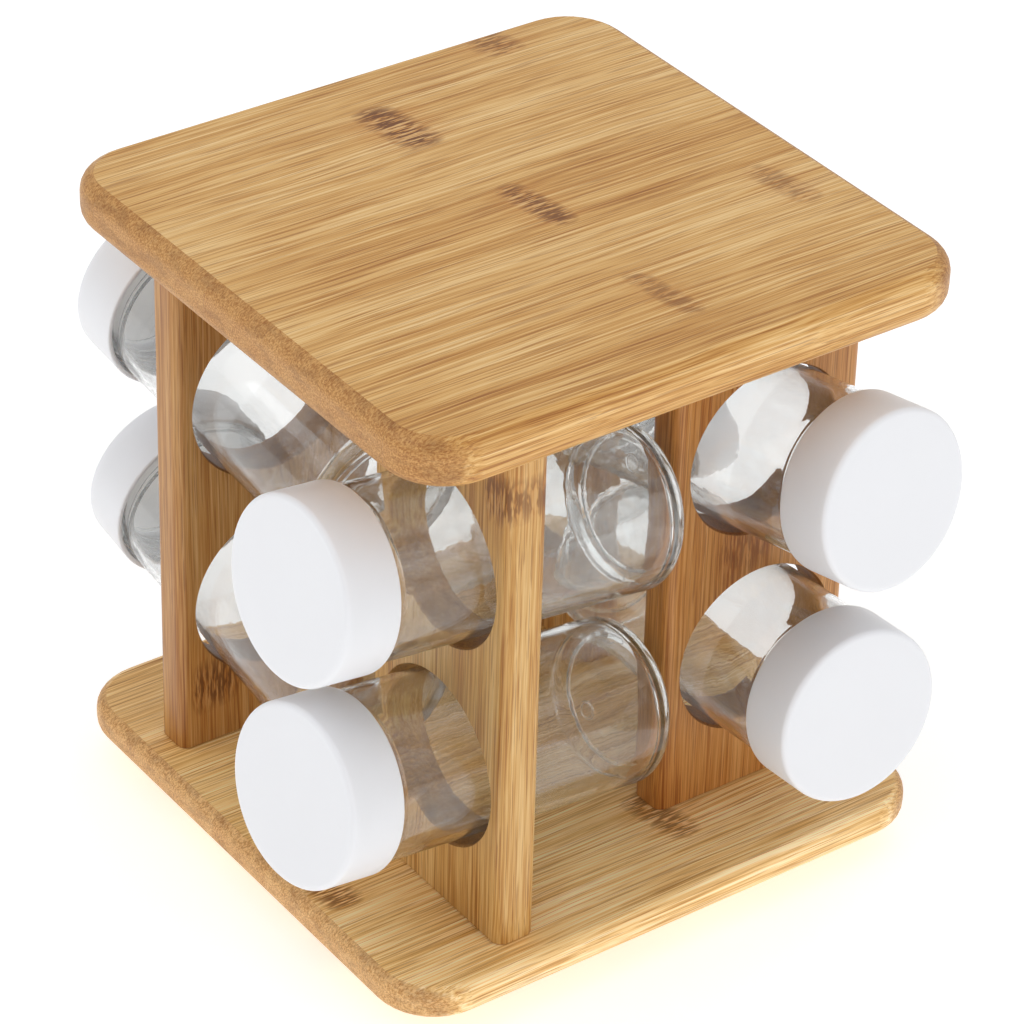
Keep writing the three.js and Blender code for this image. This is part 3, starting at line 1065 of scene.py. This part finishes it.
# A screw along +Z with its head at the bottom. The thread runs from threadFrom to the point.
def screw(name, node, values, material):
    centre, size = placeOf(node)
    length, shank, pitch = size.z, values["shank"], values["pitch"]
    threadFrom, sides, deep = values["threadFrom"], screws["sides"], screws["threadDeep"]
    tipRadius, tipLow = screws["tip"]
    core, tip = shank - deep, length - screws["point"] * shank
    head = rounded(values["head"], values["steps"])
    rows = divided([(core, threadFrom), (core, tip)], pitch / 4)
    point = divided([(core, tip), (tipRadius, length - tipLow)], pitch / 3)
    outline = head + rows[1:] + point[1:] + [(0, length)]

    def threaded(radius, height, index):
        if height <= threadFrom or height > length - screws["plain"]:
            return radius, height
        phase = (height / pitch - index / sides) % 1
        ridged = max(0, 1 - abs(phase - 0.5) * screws["threadSharp"])
        return radius + deep * ridged, height

    place = moved(centre.x, centre.y, centre.z - size.z / 2)
    made = asObject(name, spun(outline, sides, threaded), place)
    return settled(carved(made, crossCutters(place)), node, material, 40)


screwSteel = metal("ScrewSteel", screws["light"], screws["dark"], 0.32, 2)
for i in (1, 2, 3, 4):
    screw(f"PlateScrew{i}", f"plate_screw_{i}", plateScrew, screwSteel)
for k in (1, 2, 3, 4):
    for i in (1, 2):
        screw(f"UprightScrew{k}{i}", f"upright_screw_{k}_{i}", uprightScrew, screwSteel)

dowels = {
    "radius": 2.98,
    "flute": 0.18,
    "chamfer": 0.6,
    "sides": 48,
    "light": paint(222, 196, 158),
    "dark": paint(188, 152, 106),
}


def fluted(radius, height, index):
    onSide = radius > dowels["radius"] - 0.1
    return radius - dowels["flute"] * (index % 4 == 0) * onSide, height


def dowelWood():
    look = Look("DowelWood")
    place = look.place()
    fibres = look.grainy(look.vector(place["X"] * 3, place["Y"] * 3, place["Z"] * 0.12), 1, 4)
    return look.surfaced({
        "Base Color": look.mixed(fibres, dowels["light"], dowels["dark"]),
        "Roughness": 0.55 + (fibres - 0.5) * 0.2,
        "Normal": look.bumped(fibres, 0.08, 0.7),
    })


dowelMaterial = dowelWood()
for k in (1, 2, 3, 4):
    centre, size = placeOf(f"dowel_{k}")
    radius, cut, tall = dowels["radius"], dowels["chamfer"], size.z
    outline = [(0, 0), (radius - cut, 0), (radius, cut), (radius, tall - cut),
               (radius - cut, tall), (0, tall)]
    made = asObject(f"Dowel{k}", spun(outline, dowels["sides"], fluted),
                    moved(centre.x, centre.y, centre.z - tall / 2))
    settled(made, f"dowel_{k}", dowelMaterial, 25)

# The sole lists (inset, height, rounding) from the hollow middle out to the rim
feet = {
    "hollow": 0.35,
    "sole": ((3, 0.3, 0.5), (1.9, 0, 0.3), (0.25, 0, 0.5)),
    "draft": 0.05,
    "round": 0.3,
    "light": paint(58, 57, 56),
    "dark": paint(44, 43, 43),
}

rubber = plastic("FootRubber", feet["light"], feet["dark"], 0.78)
for i in (1, 2, 3, 4):
    centre, size = placeOf(f"foot_{i}")
    radius, tall = size.x / 2, size.z
    sole = [(radius - inset, height, easing) for inset, height, easing in feet["sole"]]
    outline = rounded([(0, feet["hollow"]), *sole, (radius - feet["draft"], tall, feet["round"]),
                       (0, tall)], 5)
    made = asObject(f"Foot{i}", spun(outline, 48),
                    moved(centre.x, centre.y, centre.z - tall / 2))
    settled(made, f"foot_{i}", rubber, 40)
print("screws, dowels and feet made")


studio = {
    "floorColour": (0.93, 0.93, 0.93, 1),
    "floorShade": (0.90, 0.90, 0.90, 1),
    "floorGlow": 0.42,
    "floorHalf": 6000,
    "floorLevel": -0.05,
    "world": 0.60,
    "lights": {
        "Key": {"at": (-0.35, -1.25, 1.25), "size": 1.3, "power": 5.0},
        "Fill": {"at": (1.5, 0.35, 0.9), "size": 1.3, "power": 5.0},
        "Top": {"at": (0.0, 0.3, 1.7), "size": 1.6, "power": 2.0},
    },
    "aim": (0, 0, 0.09),
}

photoView = {
    "azimuth": 53.79,
    "elevation": 33.62,
    "roll": 1.67,
    "lens": 157.8,
    "sensor": 36,
    "at": (0.8054, -0.5866, 0.7550),
}


def floorLook():
    look = Look("StudioFloor")
    place = look.place()
    cloud = look.grainy(look.vector(place["X"], place["Y"], place["Z"]), 0.01, 2)
    return look.surfaced({
        "Base Color": look.mixed(cloud * 0.1, studio["floorColour"], studio["floorShade"]),
        "Roughness": 0.8 + cloud * 0.05,
        "Emission Color": (1, 1, 1, 1),
        "Emission Strength": studio["floorGlow"],
    })


floorMesh = bmesh.new()
bmesh.ops.create_grid(floorMesh, x_segments=8, y_segments=8, size=studio["floorHalf"])
floor = asObject("StudioFloor", floorMesh, moved(0, 0, studio["floorLevel"]))
floor.data.materials.append(floorLook())

scene.world = bpy.data.worlds.new("Studio")
scene.world.use_nodes = True
backdrop = scene.world.node_tree.nodes["Background"]
backdrop.inputs["Color"].default_value = (1, 1, 1, 1)
backdrop.inputs["Strength"].default_value = studio["world"]

for name, values in studio["lights"].items():
    data = bpy.data.lights.new(name, "AREA")
    data.shape = "DISK"
    data.size = values["size"]
    data.energy = values["power"]
    light = bpy.data.objects.new(name, data)
    light.location = values["at"]
    aim = Vector(studio["aim"]) - light.location
    light.rotation_euler = aim.to_track_quat("-Z", "Y").to_euler()
    scene.collection.objects.link(light)

azimuth, elevation = math.radians(photoView["azimuth"]), math.radians(photoView["elevation"])
roll = math.radians(photoView["roll"])
flat = math.cos(elevation)
back = Vector((math.sin(azimuth) * flat, -math.cos(azimuth) * flat, math.sin(elevation)))
right = Vector((math.cos(azimuth), math.sin(azimuth), 0))
up = back.cross(right)
rolledRight = right * math.cos(roll) + up * math.sin(roll)
rolledUp = up * math.cos(roll) - right * math.sin(roll)
cameraData = bpy.data.cameras.new("PhotoCamera")
cameraData.lens = photoView["lens"]
cameraData.sensor_width = photoView["sensor"]
cameraData.clip_end = 50
camera = bpy.data.objects.new("PhotoCamera", cameraData)
camera.matrix_world = (Matrix.Translation(photoView["at"])
                       @ Matrix((rolledRight, rolledUp, back)).transposed().to_4x4())
scene.collection.objects.link(camera)
scene.camera = camera
scene.view_settings.view_transform = "Standard"

print("studio set")
